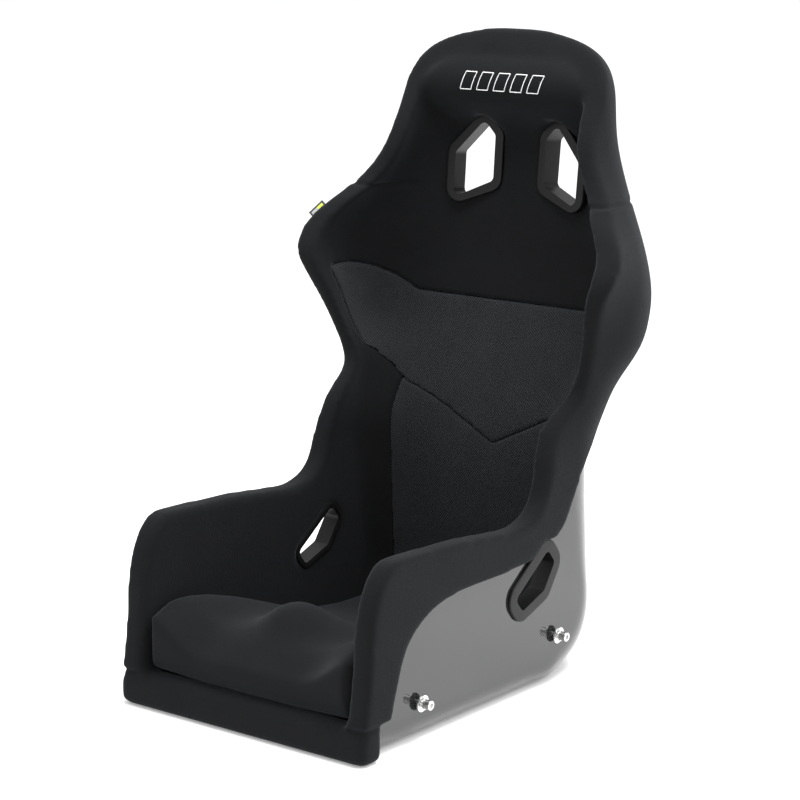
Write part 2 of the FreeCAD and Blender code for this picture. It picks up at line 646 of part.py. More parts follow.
def cushion():
    """The loose seat cushion: side lobes, two thigh channels and a raised middle at its front."""
    half_width, lift, front = cell("cushion_half_width"), cell("cushion_lift"), -cell("cushion_front")
    channel, rear = cell("cushion_channel_height"), cell("cushion_rear_height")
    lobe = cell("cushion_lobe_height") - channel
    pommel = cell("cushion_pommel_height") - channel

    def ease(low, high, at):
        share = min(1.0, max(0.0, (at - low) / (high - low)))
        return share * share * (3 - 2 * share)

    def top(x, y):
        side = ease(half_width * 0.5, half_width * 0.96, abs(x))
        level = rear + (channel - rear) * (1 - ease(-210, 70, y))
        level += lobe * side * (1 - ease(-275, -40, y))
        raised = ease(front + 26, front + 84, y) * (1 - ease(-215, -95, y))
        level += pommel * raised * math.exp(-((x / 42) ** 2))
        rolled = (0.24 - 0.14 * side) * (1 - ease(front, front + 44, y))
        return lift + (level - lift) * (1 - rolled)

    wires = []
    for y in (front, front + 12, front + 28, front + 48, front + 72, -222, -190, -155, -110, -50, 20, 90, 160,
              SEAT_REAR + 40, SEAT_REAR + 90):
        across = [half_width * share for share in (-1, -0.94, -0.82, -0.66, -0.48, -0.3, -0.14)]
        across += [0.0] + [-x for x in reversed(across)]
        crest = Part.BSplineCurve()
        edge = 10.0
        crest.interpolate([Vector(x, y, top(x, y) - (edge if abs(x) == half_width else 0)) for x in across])
        left, right = crest.StartPoint, crest.EndPoint
        low_left, low_right = Vector(-half_width, y, lift), Vector(half_width, y, lift)
        sides = [(right, low_right), (low_right, low_left), (low_left, left)]
        wires.append(Part.Wire([crest.toShape()] + [Part.makeLine(a, b) for a, b in sides]))
    body = Part.makeLoft(wires, True, False)
    room = plug(LINING_IN + cushion_gap, SOFT)
    under = Part.makeBox(2 * half_width, SEAT_REAR - front, SEAT_FLOOR, Vector(-half_width, front, 0))
    under = under.common(plug(WALL + cushion_gap))
    behind_lip = -cell("front_reach") + cell("lip_depth") + cushion_gap
    lip_room = Part.makeBox(2 * FAR, FAR, cell("lip_height") + cushion_gap, Vector(-FAR, behind_lip - FAR, 0))
    rear_edge = cell("hip_back") - LINING_IN - cushion_gap
    outline = [(-half_width, -FAR), (half_width, -FAR), (half_width, rear_edge), (-half_width, rear_edge)]
    lift_path = rounded(outline, cell("hip_corner") - LINING_IN + SOFT + 4).extrude(Vector(0, 0, FAR))
    return largest(body.common(room.fuse(under)).cut(lip_room).common(lift_path))


# ---------------------------------------------------------------------------------------------
# Harness slots: clear ways through the shell and the lining, and their bezels
# ---------------------------------------------------------------------------------------------

SLOT_DEEP = 120.0


def way(corners, radius, frame, low, high):
    """A slot's outline run straight through, between two depths of its own frame."""
    bar = rounded(corners, radius).extrude(Vector(0, 0, high - low))
    bar.translate(Vector(0, 0, low))
    bar.Placement = frame.multiply(bar.Placement)
    return bar


bond = cell("bond_gap")
sleeve = cell("bezel_wall") + bond
SLOT_ROUND = cell("slot_corner")
LAP_ROUND = cell("lap_slot_corner")
slot_ways, bezel_beds = [], []
lap_ways, lap_beds, ring_beds = [], [], []
for sign in (1, -1):
    place = shoulder_frame(sign)
    slot_ways.append(way(shoulder_outline(sign, sleeve), SLOT_ROUND + sleeve, place, -SLOT_DEEP, SLOT_DEEP))
    face = cell("bezel_face") + bond
    bezel_beds.append(way(shoulder_outline(sign, face), SLOT_ROUND + face, place, -cell("bezel_bed") - bond, 60))
    place = lap_frame(sign)
    lap_ways.append(way(lap_outline(sign, sleeve), LAP_ROUND + sleeve, place, -60, 30))
    face = cell("lap_bezel_face") + bond
    lap_beds.append(way(lap_outline(sign, face), LAP_ROUND + face, place, 0, 30))
    face = cell("lap_ring_face") + bond
    bed = cell("ring_thickness") - 1.0 + bond
    ring_beds.append(way(lap_outline(sign, face), LAP_ROUND + face, place, -LINING_IN - 5, -LINING_IN + bed))


def bezel(outline, radius, sign, place, face, thick, back):
    """A rounded face, from a depth of its slot's frame to a thickness in front, and a sleeve behind it."""
    low, high = thick
    flange = way(outline(sign, face), radius + face, place, low, high)
    inverse = place.inverse()
    front_edges = [edge for edge in flange.Edges if abs(inverse.multVec(edge.CenterOfMass).z - high) < 0.01]
    flange = flange.makeFillet(cell("bezel_proud") * 0.45, front_edges)
    wall = cell("bezel_wall")
    body = flange.fuse(way(outline(sign, wall), radius + wall, place, back, (low + high) / 2))
    return body.cut(way(outline(sign), radius, place, back - 1, high + 1)).removeSplitter()


# ---------------------------------------------------------------------------------------------
# Side mounts, in each side's own frame: +Z out of the shell's side, origin between the bolts
# ---------------------------------------------------------------------------------------------


def mount_frame(sign):
    tilt = FreeCAD.Rotation(Vector(1, 0, 0), cell("bolt_tilt"))
    turn = tilt * FreeCAD.Rotation(Vector(0, 1, 0), 90 * sign)
    return FreeCAD.Placement(Vector(sign * SIDE, cell("bolt_middle"), cell("bolt_height")), turn)


def bolt_ways(radius, low, high):
    """Round ways about all four bolts, between two depths from the shell's outside."""
    ways = []
    for sign in (1, -1):
        for end in (-1, 1):
            bar = Part.makeCylinder(radius, high - low, Vector(0, end * cell("bolt_spacing") / 2, low))
            bar.Placement = mount_frame(sign).multiply(bar.Placement)
            ways.append(bar)
    return ways


def plane(body, role):
    return next(item for item in body.Origin.OriginFeatures if item.Role == role)


def new_body(label):
    body = doc.addObject("PartDesign::Body", label)
    body.Label = label
    parts.append(body)
    return body


def new_sketch(body, name, role):
    sketch = body.newObject("Sketcher::SketchObject", name)
    sketch.AttachmentSupport = (plane(body, role), [""])
    sketch.MapMode = "FlatFace"
    return sketch


def bind(sketch, constraint, expression):
    """Adds a sketch dimension that follows the sheet."""
    index = sketch.addConstraint(constraint)
    sketch.setExpression("Constraints[%d]" % index, expression)


def polygon(sketch, corners):
    """A closed outline whose every corner follows the sheet, as pairs of expressions."""
    values = [[float(sketch.evalExpression(word)) for word in corner] for corner in corners]
    lines = []
    for i, here in enumerate(values):
        there = values[(i + 1) % len(values)]
        lines.append(sketch.addGeometry(Part.LineSegment(Vector(*here, 0), Vector(*there, 0)), False))
    for i, line in enumerate(lines):
        sketch.addConstraint(Sketcher.Constraint("Coincident", line, 2, lines[(i + 1) % len(lines)], 1))
    for line, corner, value in zip(lines, corners, values):
        bind(sketch, Sketcher.Constraint("DistanceX", -1, 1, line, 1, value[0]), corner[0])
        bind(sketch, Sketcher.Constraint("DistanceY", -1, 1, line, 1, value[1]), corner[1])


def ring(sketch, radius, up="0"):
    """A circle on the sketch's second axis, at a height that follows the sheet."""
    size, height = (float(sketch.evalExpression(word)) for word in (radius, up))
    circle = sketch.addGeometry(Part.Circle(Vector(0, height, 0), Vector(0, 0, 1), size), False)
    bind(sketch, Sketcher.Constraint("DistanceX", -1, 1, circle, 3, 0), "0")
    bind(sketch, Sketcher.Constraint("DistanceY", -1, 1, circle, 3, height), up)
    bind(sketch, Sketcher.Constraint("Radius", circle, size), radius)


def hexagon(flats):
    """Corner expressions of a hexagon about the origin, from its width across the flats."""
    ways_round = [math.radians(60 * k + 30) for k in range(6)]
    share = "%s / sqrt(3) * %.9f"
    return [(share % (flats, math.cos(a)), share % (flats, math.sin(a))) for a in ways_round]


def pad(body, sketch, length):
    feature = body.newObject("PartDesign::Pad", sketch.Name + "_pad")
    feature.Profile = sketch
    feature.setExpression("Length", length)
    return feature


def pair(body, features):
    """Repeats features at the other end of the bolt pair."""
    pattern = body.newObject("PartDesign::LinearPattern", "pair")
    pattern.Originals = features
    pattern.Direction = (plane(body, "Y_Axis"), [""])
    pattern.setExpression("Length", "sizes.bolt_spacing")
    pattern.Occurrences = 2
    body.Tip = pattern


def first_bolt(sign, depth, tilt=0.0):
    """Where a fastener on the first bolt stands, at a distance from the shell's outside."""
    place = mount_frame(sign).multiply(FreeCAD.Placement(Vector(0, -cell("bolt_spacing") / 2, depth),
                                                         FreeCAD.Rotation()))
    return place.multiply(FreeCAD.Placement(Vector(), FreeCAD.Rotation(Vector(0, 1, 0), tilt)))


def bolts(label, sign):
    """M8 cap screws, run part way into the captive nuts."""
    body = new_body(label)
    outline = new_sketch(body, label + "_profile", "XZ_Plane")
    polygon(outline, [
        ("0", "-sizes.bolt_engaged"),
        ("sizes.bolt_radius - 0.8", "-sizes.bolt_engaged"),
        ("sizes.bolt_radius", "-sizes.bolt_engaged + 0.8"),
        ("sizes.bolt_radius", "sizes.bolt_exposed"),
        ("sizes.bolt_head_radius", "sizes.bolt_exposed"),
        ("sizes.bolt_head_radius", "sizes.bolt_exposed + sizes.bolt_head_height - 0.6"),
        ("sizes.bolt_head_radius - 0.6", "sizes.bolt_exposed + sizes.bolt_head_height"),
        ("0", "sizes.bolt_exposed + sizes.bolt_head_height"),
    ])
    turned = body.newObject("PartDesign::Revolution", label + "_turned")
    turned.Profile = outline
    turned.ReferenceAxis = (outline, ["V_Axis"])
    turned.Angle = 360
    key = new_sketch(body, label + "_key", "XY_Plane")
    key.setExpression("AttachmentOffset.Base.z", "sizes.bolt_exposed + sizes.bolt_head_height")
    polygon(key, hexagon("sizes.hex_key"))
    socket = body.newObject("PartDesign::Pocket", label + "_socket")
    socket.Profile = key
    socket.setExpression("Length", "sizes.hex_depth")
    doc.recompute()
    pair(body, [turned, socket])
    body.Placement = first_bolt(sign, 0)


def washers(label, sign, radius, thickness, depth, tilt):
    body = new_body(label)
    outline = new_sketch(body, label + "_outline", "XY_Plane")
    ring(outline, radius)
    ring(outline, "sizes.bolt_radius + sizes.washer_clearance")
    disc = pad(body, outline, thickness)
    doc.recompute()
    pair(body, [disc])
    body.Placement = first_bolt(sign, depth, tilt)


def nuts(label, sign):
    body = new_body(label)
    outline = new_sketch(body, label + "_outline", "XY_Plane")
    polygon(outline, hexagon("sizes.nut_flats"))
    ring(outline, "sizes.bolt_radius + sizes.thread_fit")
    block = pad(body, outline, "sizes.nut_thickness")
    doc.recompute()
    pair(body, [block])
    behind = cell("shell_wall") + cell("bond_gap") + cell("plate_thickness") + cell("nut_thickness")
    body.Placement = first_bolt(sign, -behind)


def plate(label, sign):
    body = new_body(label)
    outline = new_sketch(body, label + "_outline", "XY_Plane")
    tall, wide = "sizes.plate_width / 2", "(sizes.bolt_spacing / 2 + sizes.plate_overhang)"
    polygon(outline, [("-" + tall, "-" + wide), (tall, "-" + wide), (tall, wide), ("-" + tall, wide)])
    for end in ("-", ""):
        ring(outline, "sizes.bolt_radius + sizes.shank_hole_gap", end + "sizes.bolt_spacing / 2")
    pad(body, outline, "sizes.plate_thickness")
    behind = cell("shell_wall") + cell("bond_gap") + cell("plate_thickness")
    body.Placement = mount_frame(sign).multiply(FreeCAD.Placement(Vector(0, 0, -behind), FreeCAD.Rotation()))


def strips(label, height):
    """Two flat strips along the base, of one half of a hook-and-loop pair."""
    body = new_body(label)
    outline = new_sketch(body, label + "_outline", "XY_Plane")
    reach = "sizes.strip_length / 2"
    for sign in ("-", ""):
        near = sign + "(sizes.strip_pitch - sizes.strip_width) / 2"
        far = sign + "(sizes.strip_pitch + sizes.strip_width) / 2"
        polygon(outline, [(near, "-" + reach), (far, "-" + reach), (far, reach), (near, reach)])
    pad(body, outline, "sizes.strip_thickness")
    body.Placement = FreeCAD.Placement(Vector(0, FAN_REACH, height), FreeCAD.Rotation())


def tag():
    """A folded woven label caught in the outer seam of the right wing's rim roll."""
    body = new_body("side_tag")
    outline = new_sketch(body, "side_tag_outline", "XY_Plane")
    polygon(outline, [("0", "-sizes.tag_width / 2"), ("sizes.tag_length", "-sizes.tag_width / 2"),
                      ("sizes.tag_length", "sizes.tag_width / 2"), ("0", "sizes.tag_width / 2")])
    pad(body, outline, "sizes.tag_thickness")
    height = WING_TOP + cell("neck_rise") * 0.235
    reach = smooth(BACK, height)[2] + cell("roll_outside") + cell("tag_stand_off")
    along = Vector(0.55, 0.48, 0.69)
    turn = FreeCAD.Rotation(Vector(-0.85, 0, 0.53), along, Vector(0, 0, 0), "YXZ")
    body.Placement = FreeCAD.Placement(Vector(-reach, smooth(RIM, height)[0], height), turn)


# ---------------------------------------------------------------------------------------------
# The parts
# ---------------------------------------------------------------------------------------------

nut_room = bolt_ways(cell("nut_flats") * 0.62, -cell("bolt_engaged") - 2, 0)
plate_rooms = []
for sign in (1, -1):
    tall = cell("plate_width") + 2
    wide = cell("bolt_spacing") + 2 * cell("plate_overhang") + 2
    deep = WALL + 2 * bond + cell("plate_thickness")
    room = Part.makeBox(tall, wide, deep, Vector(-tall / 2, -wide / 2, -deep))
    room.Placement = mount_frame(sign).multiply(room.Placement)
    plate_rooms.append(room)

shank_room = bolt_ways(cell("bolt_radius") + cell("shank_hole_gap"), -10, 10)
moulded("shell", shell_shape.cut(slot_ways + lap_ways + shank_room))


def headrest():
    """The bulge of the head pad above the shoulder slots, down to the lining's outer face."""
    front, foot = cell("headrest_front"), NECK + cell("headrest_foot")
    middle, top = NECK + cell("headrest_middle"), NECK + cell("headrest_top")
    profile = side_prism([
        (front + 56, foot),
        (front + 43, foot + 16),
        (front + 17, foot + 42),
        (front, middle),
        (front + 4, middle + 24),
        (front + 18, top),
        (front + 50, top + 28),
    ])
    below = slab(foot, UP)
    behind_roll = side_prism(rim_curve(cell("roll_band_inside")))
    bulge = plug(ROLL_IN + seam, SOFT).common(profile)
    root = lining_outside.common(profile).common(behind_roll)
    return bulge.fuse(root).common(below)


head_panel = largest(panel_between(upper_seam(seam), [(-FAR, UP), (FAR, UP)]))
moulded("head_pad", largest(head_panel.fuse(headrest()).cut(slot_ways + bezel_beds)))
moulded("shoulder_panel", largest(panel_between(lower_seam(seam), upper_seam(-seam))))

lower_lining = lining.common(front_prism([(-FAR, -FAR), (FAR, -FAR)] + list(reversed(lower_seam(-seam)))))
lower_lining = lower_lining.cut(cushion_zone)
middle = Part.makeBox(2 * ARM, 2 * FAR, UP, Vector(-ARM, -FAR, PANEL_FOOT))
moulded("lumbar_panel", largest(lower_lining.common(middle)))
middle_room = Part.makeBox(2 * (ARM + seam), 2 * FAR, 2 * UP, Vector(-ARM - seam, -FAR, -UP))
lip_behind = -cell("front_reach") + cell("lip_depth") + seam
lip_room = Part.makeBox(2 * FAR, FAR + lip_behind, cell("lip_height") + seam, Vector(-FAR, -FAR, 0))
side_pads = lower_lining.cut(middle_room).cut(lip_room)
side_pads = side_pads.cut(lap_ways + ring_beds + plate_rooms + nut_room)
roll_split = NECK - cell("head_roll_foot")
side_rolls = rim_roll.common(slab(cell("lip_height") + seam, roll_split - seam)).cut(lap_ways + lap_beds)

ring_layer = plug(-bond - cell("ring_thickness")).cut(plug(-bond))
for side_name, sign in (("left", 1), ("right", -1)):
    moulded("side_pad_" + side_name, on_side(side_pads, sign))
    moulded("rim_roll_" + side_name, on_side(side_rolls, sign))

    place = shoulder_frame(sign)
    bed = -cell("bezel_bed")
    moulded("shoulder_bezel_" + side_name,
            bezel(shoulder_outline, SLOT_ROUND, sign, place, cell("bezel_face"),
                  (bed, cell("bezel_proud") - 2), bed - LINING_IN))
    ring_plan = way(shoulder_outline(sign, cell("ring_face")), SLOT_ROUND + cell("ring_face"), place,
                    -SLOT_DEEP, bed - 4)
    moulded("shoulder_ring_" + side_name, largest(ring_layer.common(ring_plan).cut(slot_ways)))

    place = lap_frame(sign)
    moulded("lap_bezel_" + side_name,
            bezel(lap_outline, LAP_ROUND, sign, place, cell("lap_bezel_face"),
                  (bond, bond + cell("bezel_proud")), -LINING_IN + bond))
    ring_back = -LINING_IN + cell("ring_thickness") - 1.0
    ring_face = way(lap_outline(sign, cell("lap_ring_face")), LAP_ROUND + cell("lap_ring_face"), place,
                    ring_back - cell("ring_thickness"), ring_back)
    moulded("lap_ring_" + side_name, ring_face.cut(lap_ways))

    bolts("mount_bolts_" + side_name, sign)
    washers("flat_washers_" + side_name, sign, "sizes.washer_radius", "sizes.washer_thickness",
            cell("washer_from_shell"), cell("washer_lean"))
    washers("spring_washers_" + side_name, sign, "sizes.spring_washer_radius",
            "sizes.spring_washer_thickness", cell("bolt_exposed") - cell("spring_washer_thickness") - 0.4, 0.0)
    plate("mount_plate_" + side_name, sign)
    nuts("captive_nuts_" + side_name, sign)

moulded("rim_roll_head", largest(rim_roll.common(slab(roll_split, UP))))
moulded("front_lip_roll", lip())
moulded("seat_cushion", cushion())

strip_seat = FLOOR + WALL + bond
strips("hook_strips", strip_seat)
strips("loop_strips", strip_seat + cell("strip_thickness") + 0.2)
tag()

doc.recompute()
for item in doc.Objects:
    if "Invalid" in item.State or "Error" in item.State:
        raise RuntimeError("%s did not recompute: %s" % (item.Label, item.State))
os.makedirs("parts", exist_ok=True)
for part in parts:
    if part.Shape.isNull() or not part.Shape.isValid():
        raise RuntimeError("%s has no valid shape" % part.Label)
    part.Shape.exportStep("parts/%s.step" % part.Label)
    print("%-22s %2d solids %10.2f cm3" % (part.Label, len(part.Shape.Solids), part.Shape.Volume / 1000))
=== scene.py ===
import bpy
import bmesh
import math
from mathutils import Matrix, Vector
from mathutils.bvhtree import BVHTree


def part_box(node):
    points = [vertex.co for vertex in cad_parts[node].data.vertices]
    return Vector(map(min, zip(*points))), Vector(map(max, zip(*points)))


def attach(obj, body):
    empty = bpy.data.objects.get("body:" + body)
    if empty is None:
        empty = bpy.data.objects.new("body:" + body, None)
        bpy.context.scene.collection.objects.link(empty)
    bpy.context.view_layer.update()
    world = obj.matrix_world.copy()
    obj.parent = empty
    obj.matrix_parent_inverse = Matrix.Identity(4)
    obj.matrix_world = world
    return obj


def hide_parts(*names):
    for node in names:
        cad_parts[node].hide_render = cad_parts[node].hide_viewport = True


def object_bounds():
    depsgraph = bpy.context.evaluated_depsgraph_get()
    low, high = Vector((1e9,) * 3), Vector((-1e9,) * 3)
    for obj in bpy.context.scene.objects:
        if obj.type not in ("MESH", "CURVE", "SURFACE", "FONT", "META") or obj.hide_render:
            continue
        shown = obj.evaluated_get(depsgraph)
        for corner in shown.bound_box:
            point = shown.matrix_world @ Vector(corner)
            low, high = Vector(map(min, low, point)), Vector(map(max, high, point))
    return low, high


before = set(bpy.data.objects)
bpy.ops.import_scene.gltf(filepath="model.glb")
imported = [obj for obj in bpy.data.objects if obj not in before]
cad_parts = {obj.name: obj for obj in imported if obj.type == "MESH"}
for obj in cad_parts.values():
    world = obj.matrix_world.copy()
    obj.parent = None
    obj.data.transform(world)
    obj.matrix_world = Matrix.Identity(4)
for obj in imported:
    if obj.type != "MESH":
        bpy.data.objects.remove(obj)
cad_box = [list(corner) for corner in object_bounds()]

# ---------------------------------------------------------------------------------------------
# The shell: glass fibre laid up in a polished mould, about 4 mm thick, with a black gelcoat.
# Everything else on the seat is bonded or bolted to it, apart from the loose cushion.
# ---------------------------------------------------------------------------------------------

GELCOAT_BLACK = (0.012, 0.0125, 0.013, 1)
GELCOAT_RIPPLED = (0.016, 0.0165, 0.017, 1)
SHARP = math.radians(32)


class Amount:
    """A number that varies over a material's surface; sums and products of it add Math nodes."""

    def __init__(self, finish, socket):
        self.finish, self.socket = finish, socket

    def _with(self, operation, first, second):
        node = self.finish.add("ShaderNodeMath", {"operation": operation}, {0: first, 1: second})
        return Amount(self.finish, node.outputs[0])

    def __add__(self, other):
        return self._with("ADD", self, other)

    __radd__ = __add__

    def __sub__(self, other):
        return self._with("SUBTRACT", self, other)

    def __rsub__(self, other):
        return self._with("SUBTRACT", other, self)

    def __mul__(self, other):
        return self._with("MULTIPLY", self, other)

    __rmul__ = __mul__

    def to(self, power):
        return self._with("POWER", self, power)

    def above(self, level):
        return self._with("GREATER_THAN", self, level)


class Finish:
    """A material for one of the seat's surfaces, with its Principled shader ready."""

    def __init__(self, name, **constants):
        self.material = bpy.data.materials.new(name)
        self.material.use_nodes = True
        self.tree = self.material.node_tree
        self.shader = self.tree.nodes["Principled BSDF"]
        for socket, value in constants.items():
            self.shader.inputs[socket.replace("_", " ")].default_value = value

    def add(self, kind, settings=None, values=None):
        """Any node: its settings first, then the values or links of its sockets."""
        node = self.tree.nodes.new(kind)
        for key, value in (settings or {}).items():
            setattr(node, key, value)
        for key, value in (values or {}).items():
            self.feed(node.inputs[key], value)
        return node

    def feed(self, socket, value):
        """Links a socket to a varying value, or sets it to a plain one."""
        if isinstance(value, Amount):
            self.tree.links.new(value.socket, socket)
        elif isinstance(value, bpy.types.NodeSocket):
            self.tree.links.new(value, socket)
        else:
            socket.default_value = value

    def grain(self, scale, detail=2.0):
        """Noise from 0 to 1, at a number of grains per metre."""
        values = {"Scale": scale, "Detail": detail, "Vector": self.place()}
        return Amount(self, self.add("ShaderNodeTexNoise", {}, values).outputs[0])

    def place(self):
        """The position on the object, in metres."""
        return self.add("ShaderNodeTexCoord").outputs["Object"]

    def mixed(self, amount, low, high):
        """A colour between two, by an amount."""
        node = self.add("ShaderNodeMix", {"data_type": "RGBA"}, {0: amount, 6: low, 7: high})
        return node.outputs[2]

    def raised(self, height, distance, under=None):
        """A bump from a height map, over another bump."""
        values = {"Height": height, "Distance": distance, "Strength": 1.0}
        if under is not None:
            values["Normal"] = under
        return self.add("ShaderNodeBump", {}, values).outputs[0]

    def wear(self, **links):
        """Feeds what changes over the surface into the shader."""
        for socket, value in links.items():
            self.feed(self.shader.inputs[socket.replace("_", " ")], value)
        return self.material


def copy_of(node, name):
    """The CAD node's own shape as one closed mesh, smooth but for its sharp edges."""
    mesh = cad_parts[node].data.copy()
    mesh.name = name
    shape = bmesh.new()
    shape.from_mesh(mesh)
    bmesh.ops.remove_doubles(shape, verts=shape.verts, dist=2e-6)
    for face in shape.faces:
        face.smooth = True
    for edge in shape.edges:
        edge.smooth = len(edge.link_faces) == 2 and edge.calc_face_angle(0) < SHARP
    shape.to_mesh(mesh)
    shape.free()
    mesh.materials.clear()
    piece = bpy.data.objects.new(name, mesh)
    bpy.context.scene.collection.objects.link(piece)
    return piece


def fit(piece, material, body, slot, *nodes):
    """Gives a finished piece its material, its body and the CAD nodes it stands for."""
    piece.data.materials.append(material)
    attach(piece, body)
    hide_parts(*nodes)


gelcoat = Finish("black_gelcoat", IOR=1.5, Coat_Weight=0.25, Coat_Roughness=0.04, Coat_IOR=1.5)
ripple = gelcoat.grain(14.0, 1.0)
dust = gelcoat.grain(900.0, 3.0)
gelcoat.wear(
    Base_Color=gelcoat.mixed(ripple, GELCOAT_BLACK, GELCOAT_RIPPLED),
    Roughness=0.07 + 0.05 * dust * ripple,
    Normal=gelcoat.raised(ripple, 0.0004),
)
shell = copy_of("shell", "moulded_shell")
fit(shell, gelcoat.material, "seat_body", "gelcoat", "shell")

# ---------------------------------------------------------------------------------------------
# The cover: one sewn cover of fine black knit over bonded foam. It lines the sides and the head,
# rolls over the shell's edge all round, and is glued down outside. The front lip is part of it.
# ---------------------------------------------------------------------------------------------

# The knit's black, and a lit copy of it that paints light and shade into the knit's colour.
KNIT_BLACK = (0.0036, 0.0038, 0.0041, 1)
KNIT_LIT = (0.0080, 0.0085, 0.0092, 1)
LINT = (0.07, 0.073, 0.077, 1)
KNIT_SHEEN = (0.80, 0.87, 0.94, 1)
VOXEL = 0.0037
COVER_ROUNDS = 12
SEAM_ROUNDS = 6
CRISP_WITHIN = 0.011
COVER_NODES = (
    "head_pad",
    "side_pad_left",
    "side_pad_right",
    "rim_roll_left",
    "rim_roll_right",
    "rim_roll_head",
    "front_lip_roll",
)


def evaluated(piece):
    """Bakes a piece's modifiers into its mesh."""
    graph = bpy.context.evaluated_depsgraph_get()
    graph.update()
    mesh = bpy.data.meshes.new_from_object(piece.evaluated_get(graph))
    piece.modifiers.clear()
    piece.data = mesh


def foam(name, nodes, voxel):
    """Soft solids run together into one even mesh."""
    shape = bmesh.new()
    for node in nodes:
        shape.from_mesh(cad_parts[node].data)
    bmesh.ops.remove_doubles(shape, verts=shape.verts, dist=2e-6)
    mesh = bpy.data.meshes.new(name)
    shape.to_mesh(mesh)
    shape.free()
    piece = bpy.data.objects.new(name, mesh)
    bpy.context.scene.collection.objects.link(piece)
    even = piece.modifiers.new("even", "REMESH")
    even.mode = "VOXEL"
    even.voxel_size = voxel
    evaluated(piece)
    return piece


def nearest_to(nodes):
    """A search tree over some CAD nodes' surfaces."""
    shape = bmesh.new()
    for node in nodes:
        shape.from_mesh(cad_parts[node].data)
    tree = BVHTree.FromBMesh(shape)
    shape.free()
    return tree


def smoothed(shape, verts, rounds):
    """Rounds a mesh by moving each vertex half way to its neighbours' middle, over and over."""
    for turn in range(rounds):
        bmesh.ops.smooth_vert(shape, verts=verts, factor=0.5,
                              use_axis_x=True, use_axis_y=True, use_axis_z=True)


def soften(piece, tree, calm, rounds):
    """Rounds a cover's corners, but keeps it crisp within a distance of its neighbours."""
    shape = bmesh.new()
    shape.from_mesh(piece.data)
    free = [vert for vert in shape.verts if tree.find_nearest(vert.co, calm)[0] is None]
    smoothed(shape, shape.verts, SEAM_ROUNDS)
    smoothed(shape, free, rounds - SEAM_ROUNDS)
    for face in shape.faces:
        face.smooth = True
    return shape


def knit(name, dark, lit):
    """Fine warp knit: a matt pile of small loops with a faint sheen, a little lint, and painted light
    and shade mottled over its colour.
    """
    cloth = Finish(name, Sheen_Weight=0.09, Sheen_Roughness=0.35, Specular_IOR_Level=0.10)
    cloth.shader.inputs["Sheen Tint"].default_value = KNIT_SHEEN
    loops = cloth.add("ShaderNodeTexVoronoi", {}, {"Scale": 1150.0, "Vector": cloth.place()})
    loop = Amount(cloth, loops.outputs[0])
    pile = cloth.grain(420.0, 4.0)
    cloud = cloth.grain(16.0, 3.0)
    lint = cloth.grain(2600.0, 1.0).to(9.0)
    # Painted light and shade: a dark and a lit copy of the knit, mixed at random over the surface.
    shade = 0.55 * cloud + 0.45 * pile
    colour = cloth.mixed(shade, dark, lit)
    colour = cloth.mixed(lint * 1.2, colour, LINT)
    return cloth.wear(
        Base_Color=colour,
        Roughness=0.82 + 0.16 * pile,
        Normal=cloth.raised(loop, 0.00035, cloth.raised(pile, 0.0005)),
    )


knit_black = knit("black_knit", KNIT_BLACK, KNIT_LIT)
panels = nearest_to(["shoulder_panel", "lumbar_panel"])
cover = foam("knit_cover", COVER_NODES, VOXEL)
shape = soften(cover, panels, CRISP_WITHIN, COVER_ROUNDS)

# The cross seams at the neck, and where the lip is sewn to the sides.
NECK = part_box("rim_roll_head")[0].z
LIP_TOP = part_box("front_lip_roll")[1].z
SEAM_DEPTH = 0.0022
NECK_SEAM_WIDTH = 0.0032
LIP_SEAM_WIDTH = 0.003
NECK_SEAM_RISE = 0.1
NECK_SEAM_LEVEL_AT = 0.2
NECK_SEAM_FROM = 0.16
NECK_SEAM_REAR = 0.29
LIP_SEAM_FROM = 0.183
LIP_SEAM_REAR = -0.22


def groove(offset, width):
    """How deep a seam lies, from 1 on its line to nothing beside it."""
    return math.exp(-((offset / width) ** 2))


for vert in shape.verts:
    spot = vert.co
    side = abs(spot.x)
    depth = 0.0
    if spot.y < NECK_SEAM_REAR and side > NECK_SEAM_FROM:
        rise = NECK_SEAM_RISE * (side - NECK_SEAM_LEVEL_AT)
        depth = groove(spot.z - NECK - rise, NECK_SEAM_WIDTH)
    if spot.y < LIP_SEAM_REAR and side > LIP_SEAM_FROM:
        depth = max(depth, groove(spot.z - LIP_TOP, LIP_SEAM_WIDTH))
    if depth > 0.02:
        vert.co -= vert.normal * SEAM_DEPTH * depth
shape.to_mesh(cover.data)
shape.free()
fit(cover, knit_black, "seat_body", "knit_fabric", *COVER_NODES)

# ---------------------------------------------------------------------------------------------
# The back panels: black spacer mesh over foam, sewn to the knit along the level seam and the
# side seams, and to each other along the chevron. The mesh has diagonal rows of fine holes.
# ---------------------------------------------------------------------------------------------

MESH_BLACK = (0.003, 0.0032, 0.0034, 1)
MESH_YARN_LIT = (0.044, 0.048, 0.052, 1)
HOLES_PER_METRE = 340.0
MESH_SHADED = (0.018, 0.0195, 0.021, 1)
MESH_SHEEN = (0.78, 0.86, 0.92, 1)
ROW_TURN = math.radians(38)
SIDE_SPREAD = 0.85
PANEL_ROUNDS = 8
PANEL_CRISP_WITHIN = 0.009
PANEL_VOXEL = 0.0026


